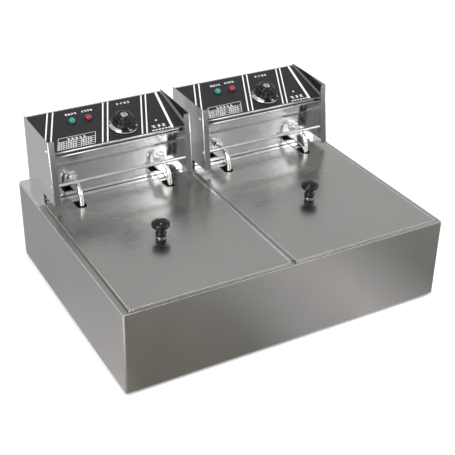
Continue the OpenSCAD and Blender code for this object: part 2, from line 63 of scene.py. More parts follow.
# ------------------------------------------------------------------ places worked out from the frame
PANEL_TILT = math.radians(14)      # the panel's slope in the CAD frame
shell_lo, shell_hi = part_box("left_head_shell")
PANEL_RUN = shell_hi.y - shell_lo.y
PANEL_LENGTH = PANEL_RUN / math.cos(PANEL_TILT)
PANEL_FRONT_Y = shell_lo.y
PANEL_FRONT_Z = shell_hi.z - PANEL_RUN * math.tan(PANEL_TILT)
FILM = 0.4 * MM
SHEET = 1 * MM
HEAD_HALF = (shell_hi.x - shell_lo.x) / 2 + SHEET
LIP_HEIGHT, LIP_RIM, LIP_GROOVE = 9 * MM, 3 * MM, 3 * MM


def mid_x(node):
    """Middle of a node across the casing."""
    lo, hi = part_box(node)
    return (lo.x + hi.x) / 2


def panel_matrix(side, u=0.0, v=0.0, lift=0.0):
    """Frame on a control panel: x across from its middle, y up the slope from its front edge, z out of it."""
    spot = Vector((mid_x(side + "_head_shell") + u, PANEL_FRONT_Y, PANEL_FRONT_Z))
    return Matrix.Translation(spot) @ Matrix.Rotation(PANEL_TILT, 4, "X") @ Matrix.Translation((0, v, lift))


# ------------------------------------------------------------------ materials
def new_material(name):
    mat = bpy.data.materials.new(name)
    mat.use_nodes = True
    nodes = mat.node_tree.nodes
    return mat, nodes, mat.node_tree.links, nodes["Principled BSDF"]


def noise(nodes, links, scale, detail=3.0, stretch=(1, 1, 1), rough=0.5):
    """A noise in object space, stretched along the axes whose factor is small."""
    coord = nodes.new("ShaderNodeTexCoord")
    mapping = nodes.new("ShaderNodeMapping")
    mapping.inputs["Scale"].default_value = stretch
    tex = nodes.new("ShaderNodeTexNoise")
    tex.inputs["Scale"].default_value = scale
    tex.inputs["Detail"].default_value = detail
    tex.inputs["Roughness"].default_value = rough
    links.new(coord.outputs["Object"], mapping.inputs["Vector"])
    links.new(mapping.outputs["Vector"], tex.inputs["Vector"])
    return tex.outputs["Fac"]


def ramp(nodes, links, fac, low, high, start=0.3, end=0.7):
    """Maps a factor to a range of grey values or colours."""
    node = nodes.new("ShaderNodeValToRGB")
    node.color_ramp.elements[0].position = start
    node.color_ramp.elements[1].position = end
    as_colour = lambda c: (*c, 1) if hasattr(c, "__len__") else (c, c, c, 1)
    node.color_ramp.elements[0].color = as_colour(low)
    node.color_ramp.elements[1].color = as_colour(high)
    links.new(fac, node.inputs["Fac"])
    return node.outputs["Color"]


def bump(nodes, links, bsdf, fac, strength, distance):
    """Raises the surface by a factor."""
    node = nodes.new("ShaderNodeBump")
    node.inputs["Strength"].default_value = strength
    node.inputs["Distance"].default_value = distance
    links.new(fac, node.inputs["Height"])
    links.new(node.outputs["Normal"], bsdf.inputs["Normal"])


def brushed(name, base, rough, along="x", grain=0.10, cloud=0.06, depth=0.12):
    """Brushed sheet: fine lines along one axis, soft clouds, and roughness that follows both."""
    mat, nodes, links, bsdf = new_material(name)
    stretch = {"x": (0.02, 1, 1), "y": (1, 0.02, 1), "z": (1, 1, 0.02)}[along]
    lines = noise(nodes, links, 1400, 4, stretch, 0.6)
    clouds = noise(nodes, links, 9, 3)
    mix = nodes.new("ShaderNodeMix")
    mix.data_type = "RGBA"
    mix.blend_type = "MULTIPLY"
    mix.inputs["Factor"].default_value = 1.0
    dark_lines, light_lines = [c * (1 - grain) for c in base], [min(c * (1 + grain), 1) for c in base]
    links.new(ramp(nodes, links, lines, dark_lines, light_lines), mix.inputs[6])
    links.new(ramp(nodes, links, clouds, 1 - cloud, 1.0), mix.inputs[7])
    links.new(mix.outputs[2], bsdf.inputs["Base Color"])
    links.new(ramp(nodes, links, lines, rough * 0.86, rough * 1.16), bsdf.inputs["Roughness"])
    bsdf.inputs["Metallic"].default_value = 1.0
    bump(nodes, links, bsdf, lines, depth, 0.00004)
    return mat


def polished(name, base, rough=0.1, smear=0.3):
    """Polished metal with faint smears in its gloss."""
    mat, nodes, links, bsdf = new_material(name)
    smears = noise(nodes, links, 60, 4)
    links.new(ramp(nodes, links, smears, [c * 0.96 for c in base], base), bsdf.inputs["Base Color"])
    links.new(ramp(nodes, links, smears, rough * (1 - smear), rough * (1 + smear)), bsdf.inputs["Roughness"])
    bsdf.inputs["Metallic"].default_value = 1.0
    return mat


def painted_shading(mat, tone, axis, way=0):
    """Paints shade into a material's colour: darker on faces turned off way along an axis, or, with no way,
    darker towards each head's left end over one head's width.
    """
    nodes, links, bsdf = mat.node_tree.nodes, mat.node_tree.links, mat.node_tree.nodes["Principled BSDF"]
    base = bsdf.inputs["Base Color"].links[0].from_socket
    coord, parts = nodes.new("ShaderNodeTexCoord"), nodes.new("ShaderNodeSeparateXYZ")
    change = nodes.new("ShaderNodeMath")
    links.new(coord.outputs["Normal" if way else "Object"], parts.inputs[0])
    links.new(parts.outputs[axis], change.inputs[0])
    if way:
        change.operation = "MULTIPLY"
        change.inputs[1].default_value = way
    else:
        change.operation = "WRAP"
        change.inputs[1].default_value = 2 * HEAD_PITCH
        change.inputs[2].default_value = 0
    reach = nodes.new("ShaderNodeMapRange")
    links.new(change.outputs[0], reach.inputs["Value"])
    reach.inputs["From Min"].default_value = 0.3 if way else 0.25 * HEAD_PITCH
    reach.inputs["From Max"].default_value = 0.9 if way else 1.8 * HEAD_PITCH
    mix = nodes.new("ShaderNodeMix")
    mix.data_type = "RGBA"
    mix.blend_type = "MULTIPLY"
    mix.inputs["Factor"].default_value = 1.0
    links.new(base, mix.inputs[6])
    links.new(ramp(nodes, links, reach.outputs[0], tone, 1.0, 0.0, 1.0), mix.inputs[7])
    links.new(mix.outputs[2], bsdf.inputs["Base Color"])
    return mat


def plastic(name, base, rough, mottled=0.15, scale=900, depth=0.1, coat=0.0, specular=0.5):
    """Moulded plastic with a fine texture."""
    mat, nodes, links, bsdf = new_material(name)
    fine = noise(nodes, links, scale, 3)
    wide = noise(nodes, links, 40, 3)
    links.new(ramp(nodes, links, wide, [c * (1 - mottled) for c in base], [c * (1 + mottled) for c in base]),
              bsdf.inputs["Base Color"])
    links.new(ramp(nodes, links, fine, rough * 0.85, rough * 1.15), bsdf.inputs["Roughness"])
    bsdf.inputs["Coat Weight"].default_value = coat
    bsdf.inputs["Coat Roughness"].default_value = 0.05
    bsdf.inputs["Specular IOR Level"].default_value = specular
    bump(nodes, links, bsdf, fine, depth, 0.00005)
    return mat


def lens(name, base):
    """Tinted pilot-lamp lens: clear gloss over a coloured body."""
    mat, nodes, links, bsdf = new_material(name)
    cells = nodes.new("ShaderNodeTexVoronoi")
    cells.inputs["Scale"].default_value = 900
    coord = nodes.new("ShaderNodeTexCoord")
    links.new(coord.outputs["Object"], cells.inputs["Vector"])
    links.new(ramp(nodes, links, cells.outputs["Distance"], [min(c * 1.6, 1) for c in base], base, 0.1, 0.7),
              bsdf.inputs["Base Color"])
    bsdf.inputs["Roughness"].default_value = 0.08
    bsdf.inputs["Coat Weight"].default_value = 1.0
    bsdf.inputs["Coat Roughness"].default_value = 0.03
    return mat


def ink(name, base, rough=0.5):
    """Screen-printed ink, slightly uneven."""
    mat, nodes, links, bsdf = new_material(name)
    uneven = noise(nodes, links, 500, 3)
    links.new(ramp(nodes, links, uneven, [c * 0.9 for c in base], base), bsdf.inputs["Base Color"])
    bsdf.inputs["Roughness"].default_value = rough
    return mat


CASING = brushed("casing_brushed", (0.47, 0.458, 0.438), 0.33, "x", grain=0.05, depth=0.06)
LID = brushed("lid_satin", (0.50, 0.494, 0.470), 0.24, "x", grain=0.04, cloud=0.05, depth=0.05)
DECK = brushed("deck_satin", (0.84, 0.84, 0.85), 0.20, "x", grain=0.08)
HEAD_PITCH = mid_x("right_head_shell")
# the cheeks' inner faces and front flanges are painted darker than their outer faces: painted shade
CHEEK_L, CHEEK_R = (
    painted_shading(brushed(name, (0.70, 0.70, 0.69), 0.15, "z", grain=0.03, depth=0.03), 0.45, "X", way)
    for name, way in (("cheek_satin_painted_shade_left", -1), ("cheek_satin_painted_shade_right", 1)))
# the polished wall carries a painted reflection: darker towards each head's left end, brighter towards its
# right end
WALL = painted_shading(polished("front_wall_polished_painted_reflection", (0.98, 0.98, 1.0), 0.11), 0.62, "X")
TANK = brushed("tank_satin", (0.60, 0.60, 0.59), 0.28, "z")
# rims and bevels in metal much brighter than their sheet: a painted highlight line, on top of the highlight
# their round shape catches from the lamps
EDGE_HIGHLIGHT = polished("edge_painted_highlight", (0.98, 0.98, 0.97), 0.30)
CHROME = polished("chrome", (0.86, 0.86, 0.87), 0.07)
HEATER = polished("heater_sheath", (0.90, 0.89, 0.87), 0.16)
SHADOW = polished("groove_painted_shade", (0.10, 0.10, 0.10), 0.3)
DARK_STEEL = polished("dark_steel", (0.22, 0.22, 0.22), 0.25)
DIAL_METAL = polished("dial_metal", (0.80, 0.80, 0.81), 0.2)
KNOB = plastic("knob_black", (0.004, 0.004, 0.005), 0.06, scale=300, depth=0.01, specular=0.45)
GRIP = plastic("dial_black", (0.006, 0.006, 0.007), 0.20, depth=0.04, specular=0.35)
FILM_BLACK = plastic("panel_film", (0.015, 0.015, 0.017), 0.42, scale=1600, depth=0.10, specular=0.28)
CREAM = plastic("cream_plastic", (0.62, 0.58, 0.48), 0.45)
GLAND = plastic("gland_black", (0.02, 0.02, 0.02), 0.5)
RUBBER = plastic("rubber", (0.02, 0.02, 0.02), 0.75, depth=0.3)
BULB = polished("bulb_steel", (0.70, 0.70, 0.69), 0.2)
BODY_METAL = brushed("thermostat_metal", (0.55, 0.52, 0.46), 0.35, "x")
GREEN = lens("green_lens", (0.008, 0.20, 0.155))
RED = lens("red_lens", (0.20, 0.005, 0.010))
WHITE_INK = ink("white_ink", (0.86, 0.86, 0.85))
# dark colour for the screws' cross recesses: painted shade
RECESS_SHADE = ink("recess_painted_shade", (0.03, 0.03, 0.03))

PLAIN = {"base_pan": CASING, "rubber_feet": RUBBER, "body_screws": CHROME, "centre_bridge": DECK}
PER_SIDE = {
    "lid_ferrule": DARK_STEEL, "lid_screw": CHROME, "panel_label": FILM_BLACK,
    "dial_cap": CHROME, "thermostat": BODY_METAL, "terminal_block": CREAM, "heating_element": HEATER,
    "sensor_bulb": BULB, "hanger_rail": CHROME, "cheek_screws": CHROME, "basket_frame": CHROME,
}
# material, width of the rounded edge in mm, and 1 where that edge is of the bright metal that paints a
# highlight line
FOLDED = {"casing_shell": (CASING, 0.5, 0), "rear_deck": (DECK, 0.4, 0)}
FOLDED_PER_SIDE = {
    "lid": (LID, 0.4, 0), "head_shell": (WALL, 0.3, 0), "head_cheek_l": (CHEEK_L, 0.35, 1),
    "head_cheek_r": (CHEEK_R, 0.35, 1), "element_nuts": (CHROME, 0.3, 0),
    "rear_cover": (CASING, 0.2, 0), "cable_gland": (GLAND, 0.3, 0), "tank": (TANK, 0.3, 0),
}


def paint(node, *materials):
    """Gives a CAD node its materials."""
    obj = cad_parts[node]
    obj.data.materials.clear()
    for mat in materials:
        obj.data.materials.append(mat)
    return obj


def fold_edges(obj, width, bright):
    """Sheet edges catch the light: each sharp edge gets a narrow round face, of its own material or of the
    bright metal that paints a highlight line there.
    """
    weld = obj.modifiers.new("weld", "WELD")
    weld.merge_threshold = 0.01 * MM
    bevel = obj.modifiers.new("fold", "BEVEL")
    bevel.width = width * MM
    bevel.segments = 2
    bevel.limit_method = "ANGLE"
    bevel.angle_limit = math.radians(40)
    bevel.material = bright
    # the broad faces keep their own direction, so that each sheet shades flat up to its fold
    normals = obj.modifiers.new("normals", "WEIGHTED_NORMAL")
    normals.weight = 100
    normals.keep_sharp = False


for name, mat in PLAIN.items():
    paint(name, mat)
for name, (mat, width, bright) in FOLDED.items():
    fold_edges(paint(name, mat, EDGE_HIGHLIGHT), width, bright)
for side in SIDES:
    for name, mat in PER_SIDE.items():
        paint(f"{side}_{name}", mat)
    for name, (mat, width, bright) in FOLDED_PER_SIDE.items():
        fold_edges(paint(f"{side}_{name}", mat, EDGE_HIGHLIGHT), width, bright)


# ------------------------------------------------------------------ mesh helpers
class Mesh:
    """Collects simple shapes, each with a material, into one object."""

    def __init__(self, *materials):
        self.bm = bmesh.new()
        self.materials = materials

    def faces_of(self, verts, index, smooth):
        for face in {f for v in verts for f in v.link_faces}:
            face.material_index = index
            face.smooth = smooth

    def lathe(self, profile, at=Matrix(), segments=64, index=0, smooth=True):
        """Turns a list of (radius, height) points round z; a radius of 0 closes the shape."""
        rings = []
        for r, z in profile:
            if r < 1e-7:
                rings.append([self.bm.verts.new(at @ Vector((0, 0, z)))])
            else:
                rings.append([self.bm.verts.new(at @ Vector((r * math.cos(t), r * math.sin(t), z)))
                              for t in (2 * math.pi * i / segments for i in range(segments))])
        for a, b in zip(rings, rings[1:]):
            for i in range(segments):
                j = (i + 1) % segments
                corners = [a[i % len(a)], a[j % len(a)], b[j % len(b)], b[i % len(b)]]
                unique = list(dict.fromkeys(corners))
                if len(unique) > 2:
                    face = self.bm.faces.new(unique)
                    face.material_index = index
                    face.smooth = smooth
        return self

    def bar(self, corner_lo, corner_hi, at=Matrix(), index=0, shear=0.0):
        """A thin block; shear leans it across x by that much for each unit of y."""
        x0, y0, z0 = corner_lo
        x1, y1, z1 = corner_hi
        spots = [(x, y, z) for z in (z0, z1) for y in (y0, y1) for x in (x0, x1)]
        verts = [self.bm.verts.new(at @ Vector((x + shear * y, y, z))) for x, y, z in spots]
        for quad in ((0, 2, 3, 1), (4, 5, 7, 6), (0, 1, 5, 4), (2, 6, 7, 3), (0, 4, 6, 2), (1, 3, 7, 5)):
            self.bm.faces.new([verts[q] for q in quad]).material_index = index
        return self

    def tube(self, path, radius, sides=8, index=0, closed=False):
        """A round wire along a list of points."""
        path = [Vector(p) for p in path]
        count = len(path)
        rings, normal = [], None
        for i, p in enumerate(path):
            before = path[(i - 1) % count] if closed or i else p
            after = path[(i + 1) % count] if closed or i < count - 1 else p
            along = (after - before).normalized()
            if normal is None:
                normal = along.orthogonal().normalized()
            normal = (normal - along * normal.dot(along)).normalized()
            other = along.cross(normal)
            rings.append([self.bm.verts.new(p + radius * (math.cos(t) * normal + math.sin(t) * other))
                          for t in (2 * math.pi * k / sides for k in range(sides))])
        pairs = list(zip(rings, rings[1:])) + ([(rings[-1], rings[0])] if closed else [])
        for a, b in pairs:
            for k in range(sides):
                face = self.bm.faces.new((a[k], a[(k + 1) % sides], b[(k + 1) % sides], b[k]))
                face.smooth = True
                face.material_index = index
        if not closed:
            self.bm.faces.new(rings[0][::-1]).material_index = index
            self.bm.faces.new(rings[-1]).material_index = index
        return self

    def done(self, name, body, slot, *replaced):
        bmesh.ops.recalc_face_normals(self.bm, faces=self.bm.faces)
        data = bpy.data.meshes.new(name)
        self.bm.to_mesh(data)
        self.bm.free()
        for mat in self.materials:
            data.materials.append(mat)
        obj = bpy.data.objects.new(name, data)
        bpy.context.scene.collection.objects.link(obj)
        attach(obj, body)
        if replaced:
            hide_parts(*replaced)
        return obj


def arc(cx, cy, r, a0, a1, steps=8):
    """Points on an arc, in degrees, as (x, y)."""
    turn = [math.radians(a0 + (a1 - a0) * i / steps) for i in range(steps + 1)]
    return [(cx + r * math.cos(t), cy + r * math.sin(t)) for t in turn]


# ------------------------------------------------------------------ lid knobs
def lid_knob(side):
    """A bead at the foot, a short neck and a mushroom cap, with a moulding line round the cap."""
    lo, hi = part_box(side + "_lid_knob")
    r, h = (hi.x - lo.x) / 2, hi.z - lo.z
    bead, neck, rim = 4.2 * MM, 6.7 * MM, 5.2 * MM
    rim_z = h - 8 * MM
    profile = [(0, 0), (9 * MM - bead, 0)] + arc(9 * MM - bead, bead, bead, -80, 62, 14)
    profile += [(neck, 2 * bead - 0.2 * MM), (neck, rim_z - rim - 0.4 * MM)]
    profile += [(neck + 0.8 * MM, rim_z - rim - 0.1 * MM)]
    # the cap's rim, with the moulding line half-way up
    profile += arc(r - rim, rim_z, rim, -88, -3, 12) + [(r - 0.12 * MM, rim_z)]
    profile += arc(r - rim, rim_z, rim, 3, 58, 10)
    crown_r, crown_z = profile[-1]
    profile += [(crown_r * k, h - (h - crown_z) * k ** 2.1) for k in (0.85, 0.7, 0.55, 0.4, 0.27, 0.14)]
    profile += [(0, h)]
    spot = Matrix.Translation(((lo.x + hi.x) / 2, (lo.y + hi.y) / 2, lo.z))
    Mesh(KNOB).lathe(profile, spot, 72).done(side + "_knob_turned", side + "_lid_unit", "knob_plastic",
                                             side + "_lid_knob")


# ------------------------------------------------------------------ pilot lamps
LAMP_V = 69 * MM
LAMP_COLLAR = 2 * MM       # how far the collar stands out past the lens


def lamp(side, colour, mat):
    """A domed lens in a thin black collar."""
    node = f"{side}_{colour}_lamp"
    lo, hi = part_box(node)
    # the node's box is as wide as the collar behind the panel
    radius = (hi.x - lo.x) / 2 - LAMP_COLLAR
    u = mid_x(node) - mid_x(side + "_head_shell")
    at = panel_matrix(side, u, LAMP_V, FILM)
    body = Mesh(mat, GRIP)
    dome = [(radius - 0.5 * MM, 0.6 * MM), (radius - 0.5 * MM, 2.0 * MM)]
    dome += [(x, 2.0 * MM + y) for x, y in arc(0, 0, radius - 0.5 * MM, 0, 90, 12)[1:-1]]
    dome += [(0, 2.0 * MM + radius - 0.5 * MM)]
    body.lathe([(0, 0.6 * MM)] + dome, at, 40, 0)
    body.lathe([(radius - 0.5 * MM, 0), (radius + 1 * MM, 0), (radius + 1 * MM, 0.5 * MM),
                (radius + 0.6 * MM, 1 * MM), (radius - 0.4 * MM, 1 * MM)], at, 40, 1)
    body.done(f"{side}_{colour}_lamp_lens", side + "_head", colour + "_lens", node)


# ------------------------------------------------------------------ dial
DIAL_U, DIAL_V = 22 * MM, 34 * MM
SKIRT_BASE = 1.2 * MM
DIAL_NUMBERS = ("50", "80", "110", "140", "170", "200")
UNSHADED_FROM, UNSHADED_TO = 168, 238       # the sector of the skirt left as plain metal, in degrees; elsewhere its slope is painted black as the chrome's dark reflection
SCALE_FROM, SCALE_TO = 155, -80     # the printed scale, running clockwise


def dial(side):
    """The sloped skirt, painted black as the chrome's dark reflection save one sector of plain metal, with
    its ticks and its numbers, and the grip on it.
    """
    at = panel_matrix(side, DIAL_U, DIAL_V, 0)
    lo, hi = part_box(side + "_dial_skirt")
    skirt_r = (hi.x - lo.x) / 2
    cone_r, cone_h, rim_h = skirt_r - 4.5 * MM, 6 * MM, 2.3 * MM
    # radius, height and material of each ring
    rings = [(7 * MM, 0, 0), (skirt_r - 0.5 * MM, 0, 0), (skirt_r, 0.5 * MM, 0),
             (skirt_r, rim_h - 0.5 * MM, 0), (skirt_r - 0.4 * MM, rim_h, 0), (cone_r, cone_h, 1),
             (7 * MM, cone_h, 1)]
    skirt = Mesh(DIAL_METAL, GRIP, WHITE_INK)
    segments = 144
    levels = [[skirt.bm.verts.new(at @ Vector((r * math.cos(t), r * math.sin(t), SKIRT_BASE + z)))
               for t in (2 * math.pi * i / segments for i in range(segments))] for r, z, _ in rings]
    for k, (a, b) in enumerate(zip(levels, levels[1:])):
        for i in range(segments):
            j = (i + 1) % segments
            face = skirt.bm.faces.new((a[i], a[j], b[j], b[i]))
            face.smooth = k not in (0, 5)
            # outside that sector the slope gets the black of a painted dark reflection
            unshaded = UNSHADED_FROM < (i + 0.5) * 360 / segments < UNSHADED_TO
            face.material_index = 0 if unshaded else rings[k + 1][2]
    for i in range(segments):
        j = (i + 1) % segments
        skirt.bm.faces.new((levels[0][i], levels[-1][i], levels[-1][j], levels[0][j]))
    slope = math.atan2(cone_h - rim_h, skirt_r - cone_r)
    for i in range(31):
        turn = math.radians(SCALE_FROM + (SCALE_TO - SCALE_FROM) * i / 30)
        length = 1.8 * MM if i % 6 == 0 else 1.1 * MM
        spot = (at @ Matrix.Rotation(turn, 4, "Z")
                @ Matrix.Translation((skirt_r - 0.5 * MM, 0, SKIRT_BASE + rim_h + 0.05 * MM))
                @ Matrix.Rotation(math.pi - slope, 4, "Y") @ Matrix.Scale(-1, 4, (0, 0, 1)))
        skirt.bar((0, -0.25 * MM, -0.05 * MM), (length, 0.25 * MM, 0.12 * MM), spot, 2)
    skirt.done(side + "_dial_scale", side + "_dial", "dial_metal", side + "_dial_skirt")
    for i, word in enumerate(DIAL_NUMBERS):
        turn = math.radians(SCALE_FROM + (SCALE_TO - SCALE_FROM) * i / 5)
        text = bpy.data.curves.new(f"{side}_dial_number_{i}", "FONT")
        text.body = word
        text.size = 3.6 * MM
        text.align_x = "CENTER"
        text.align_y = "CENTER"
        text.extrude = 0.05 * MM
        text.materials.append(WHITE_INK)
        obj = bpy.data.objects.new(text.name, text)
        bpy.context.scene.collection.objects.link(obj)
        middle = (skirt_r + cone_r) / 2 - 0.7 * MM
        obj.matrix_world = (at @ Matrix.Rotation(turn - math.pi / 2, 4, "Z")
                            @ Matrix.Translation((0, middle, SKIRT_BASE + cone_h * 0.78))
                            @ Matrix.Rotation(-slope, 4, "X"))
        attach(obj, side + "_dial")
    grip(side, at)


FLUTE_DEPTH = 1.5 * MM


def grip(side, at):
    """Round grip with shallow flutes, a raised boss in its middle and a white index line."""
    base = SKIRT_BASE + 6 * MM
    lo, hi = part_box(side + "_dial_grip")
    r, top = (hi.x - lo.x) / 2, 17 * MM
    body = r - 2.2 * MM
    mesh = Mesh(GRIP, WHITE_INK)
    segments, flutes = 160, 10
    # radius, height and depth of the flutes at each level
    levels = [(r, 0.0, 0), (r, 2.2 * MM, 0), (r - 0.6 * MM, 3.4 * MM, 0.2),
              (body + 0.7 * MM, 4.6 * MM, 0.8), (body, 6 * MM, 1), (body - 0.5 * MM, top - 6 * MM, 1),
              (body - 1.3 * MM, top - 4.2 * MM, 0.8), (body - 3.2 * MM, top - 3.2 * MM, 0.3),
              (12.4 * MM, top - 2.6 * MM, 0), (11.6 * MM, top - 1.0 * MM, 0),
              (10.8 * MM, top - 0.2 * MM, 0), (9.6 * MM, top, 0), (6.2 * MM, top, 0),
              (6.1 * MM, top - 1.4 * MM, 0)]
    rings = []
    for radius, z, cut in levels:
        ring = []
        for i in range(segments):
            t = 2 * math.pi * i / segments
            reach = radius - FLUTE_DEPTH * cut * (0.5 - 0.5 * math.cos(flutes * t)) ** 1.5
            ring.append(mesh.bm.verts.new(at @ Vector((reach * math.cos(t), reach * math.sin(t), base + z))))
        rings.append(ring)
    for a, b in zip(rings, rings[1:]):
        for i in range(segments):
            mesh.bm.faces.new((a[i], a[(i + 1) % segments], b[(i + 1) % segments], b[i])).smooth = True
    mesh.bm.faces.new(rings[0][::-1])
    mesh.bm.faces.new(rings[-1])
    mesh.bar((-0.5 * MM, -r - 0.2 * MM, base + 0.6 * MM), (0.5 * MM, 0.6 * MM - r, base + 2.4 * MM), at, 1)
    # two dark slots in the bright cap
    for v in (-2.8 * MM, 1.2 * MM):
        mesh.bar((-1.7 * MM, v, 25.0 * MM), (1.7 * MM, v + 1.6 * MM, 25.5 * MM), at, 0)
    mesh.done(side + "_dial_fluted", side + "_dial", "dial_plastic", side + "_dial_grip")


# ------------------------------------------------------------------ printed panel
LEAN = 0.42                # the stripes lean by this much for each unit up the slope
FRONT_MARGIN, REAR_MARGIN = 2.6 * MM, 3.6 * MM
STRIPES = (-4.6, 5.1, 96.2, 105.1, 168.3, 176.8)    # from the head's left end, at the panel's front edge
STRIPE_W = 2.4 * MM
INK_T = 0.12 * MM
BORDER_FRONT, BORDER_REAR, BORDER_W = 97.2 * MM, 112.6 * MM, 4.4 * MM      # from the head's middle


def marks(mesh, at, u, v, count, size, gap, seed):
    """A short row of small blocks in the place of a printed word."""
    dice = random.Random(seed)
    for i in range(count):
        x = u + i * (size + gap)
        for k in range(3):
            w = size * dice.uniform(0.35, 1.0)
            x0 = x + (size - w) * dice.random()
            y = v + k * size * 0.38
            mesh.bar((x0, y, 0), (x0 + w, y + size * 0.22, INK_T), at)
        if dice.random() < 0.6:
            x1 = x + size * dice.uniform(0.2, 0.7)
            mesh.bar((x1, v, 0), (x1 + size * 0.2, v + size, INK_T), at)


def panel_print(side):
    at = panel_matrix(side, 0, 0, FILM)
    mesh = Mesh(WHITE_INK)
    left = -HEAD_HALF
    v0, v1 = FRONT_MARGIN, PANEL_LENGTH - REAR_MARGIN
    edge_lo, edge_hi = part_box(side + "_panel_label")
    film_left = edge_lo.x - mid_x(side + "_head_shell")
    for start in STRIPES:
        u = left + start * MM
        low = max(v0, (film_left + 0.3 * MM - u) / LEAN) if u < film_left else v0
        mesh.bar((u, low, 0), (u + STRIPE_W, v1, INK_T), at, 0, LEAN)
    # the leaning border at the right
    lean = (BORDER_REAR - BORDER_FRONT) / PANEL_LENGTH
    mesh.bar((BORDER_FRONT, v0, 0), (BORDER_FRONT + BORDER_W, v1, INK_T), at, 0, lean)
    # frame and lines of the data table
    t0, t1, rows = left + 18.5 * MM, left + 84 * MM, 6
    low, high = 5 * MM, 33 * MM
    for k in range(rows + 1):
        v = low + (high - low) * k / rows
        if k != rows - 1:
            mesh.bar((t0, v, 0), (t1, v + 0.6 * MM, INK_T), at, 0, LEAN)
    for u in (t0, t0 + 15 * MM, t0 + 41 * MM, t1):
        mesh.bar((u, low, 0), (u + 0.7 * MM, high if u in (t0, t1) else low + (high - low) * 4 / rows, INK_T),
                 at, 0, LEAN)
    for k in range(rows - 2):
        v = low + (high - low) * (k + 0.28) / rows
        marks(mesh, at, t0 + LEAN * v + 2 * MM, v, 3, 2.8 * MM, 1.0 * MM, 10 + k)
        marks(mesh, at, t0 + LEAN * v + 18 * MM, v, 4, 2.8 * MM, 1.6 * MM, 30 + k)
        marks(mesh, at, t0 + LEAN * v + 44 * MM, v, 4, 2.8 * MM, 1.6 * MM, 60 + k)
    marks(mesh, at, t0 + 14 * MM + LEAN * high, high - 8.0 * MM, 5, 4.8 * MM, 2.0 * MM, 3)
    # captions over the lamps and the dial
    for side_word, (u, seed) in zip(range(2), ((66, 5), (95.5, 6))):
        marks(mesh, at, left + u * MM, 88 * MM + side_word * MM, 4, 4.4 * MM, 1.0 * MM, seed)
    marks(mesh, at, left + 161 * MM, 90 * MM, 4, 4.6 * MM, 2.2 * MM, 7)
    # small squares and a dashed line at the right
    for i in range(3):
        marks(mesh, at, left + (193.5 + i * 9.5) * MM, 11 * MM, 1, 6.6 * MM, 0, 40 + i)
    marks(mesh, at, left + 206 * MM, 28 * MM, 1, 4.2 * MM, 0, 50)
    for i in range(6):
        mesh.bar((left + (190 + i * 6) * MM, 4 * MM, 0), (left + (193.8 + i * 6) * MM, 6.4 * MM, INK_T), at)
    mesh.done(side + "_panel_print", side + "_head", "panel_film")


# ------------------------------------------------------------------ woven basket
WIRE_R = 0.8 * MM
WIRE_PITCH = 11 * MM


def basket(side):
    """Crossed wires down the walls and over the floor, tied by rings round the walls."""
    lo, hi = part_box(side + "_basket")
    cx, cy = (lo.x + hi.x) / 2, (lo.y + hi.y) / 2
    hx, hy = (hi.x - lo.x) / 2 - WIRE_R, (hi.y - lo.y) / 2 - WIRE_R
    z0, z1, r = lo.z + 2 * WIRE_R, hi.z + 1 * MM, 12 * MM
    mesh = Mesh(CHROME)

    def trough(half, floor):
        """Down one wall, over the floor and up the other."""
        path = [(-half, z1)] + arc(-half + r, floor + r, r, 180, 270, 6)
        return path + arc(half - r, floor + r, r, 270, 360, 6) + [(half, z1)]

    n = int((2 * hy - 16 * MM) / WIRE_PITCH)
    for i in range(n + 1):
        y = cy + (i - n / 2) * WIRE_PITCH
        mesh.tube([(cx + a, y, b) for a, b in trough(hx, z0)], WIRE_R, 6)
    n = int((2 * hx - 16 * MM) / WIRE_PITCH)
    for i in range(n + 1):
        x = cx + (i - n / 2) * WIRE_PITCH
        mesh.tube([(x, cy + a, b) for a, b in trough(hy - 2 * WIRE_R, z0 + 2 * WIRE_R)], WIRE_R, 6)
    levels = int((z1 - z0 - r) / WIRE_PITCH)
    for k in range(levels):
        z = z0 + r + k * WIRE_PITCH
        ring = []
        for sx, sy, a in ((1, 1, 0), (-1, 1, 90), (-1, -1, 180), (1, -1, 270)):
            ring += arc(cx + sx * (hx - r), cy + sy * (hy - r), r, a, a + 90, 6)
        mesh.tube([(x, y, z) for x, y in ring], WIRE_R, 6, closed=True)
    mesh.done(side + "_basket_mesh", side + "_head", "bright_steel", side + "_basket")


# ------------------------------------------------------------------ bright hems, painted as highlight lines, and screw heads
HEM = 1.25 * MM            # radius of a rolled sheet edge
CHEEK_TOP, CHEEK_FOOT = 7.2 * MM, 20.2 * MM      # the fold's distance before the panel, at its top and foot
CHEEK_DROP = 2 * MM
FLANGE_FOOT = 11.5 * MM                           # the fold's foot over the locating pin's end


def round_corner(cx, cy, r, a0, a1, z):
    return [(x, y, z) for x, y in arc(cx, cy, r, a0, a1, 6)]


def casing_hem():
    """Rolled edge round the casing's top, in bright metal that paints a highlight line along it."""
    lo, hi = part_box("casing_shell")
    x0, x1, y0, y1 = lo.x + HEM, hi.x - HEM, lo.y + HEM, hi.y - HEM
    r, z = 3 * MM, hi.z - HEM * 0.8
    path = round_corner(x0 + r, y0 + r, r, 180, 270, z) + round_corner(x1 - r, y0 + r, r, 270, 360, z)
    path += round_corner(x1 - r, y1 - r, r, 0, 90, z) + round_corner(x0 + r, y1 - r, r, 90, 180, z)
    Mesh(EDGE_HIGHLIGHT).tube(path, HEM, 12, closed=True).done("casing_rim", "casing", "casing_steel")


def lid_hem(side):
    """Rolled edge along a lid's sides and front, in bright metal that paints a highlight line along it."""
    lo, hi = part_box(side + "_lid")
    x0, x1, y0 = lo.x + HEM, hi.x - HEM, lo.y + HEM
    r, z = 2 * MM, hi.z - HEM * 0.85
    path = [(x0, hi.y, z)] + round_corner(x0 + r, y0 + r, r, 180, 270, z)
    path += round_corner(x1 - r, y0 + r, r, 270, 360, z) + [(x1, hi.y, z)]
    Mesh(EDGE_HIGHLIGHT).tube(path, HEM, 12).done(side + "_lid_rim", side + "_lid_unit", "lid_steel")


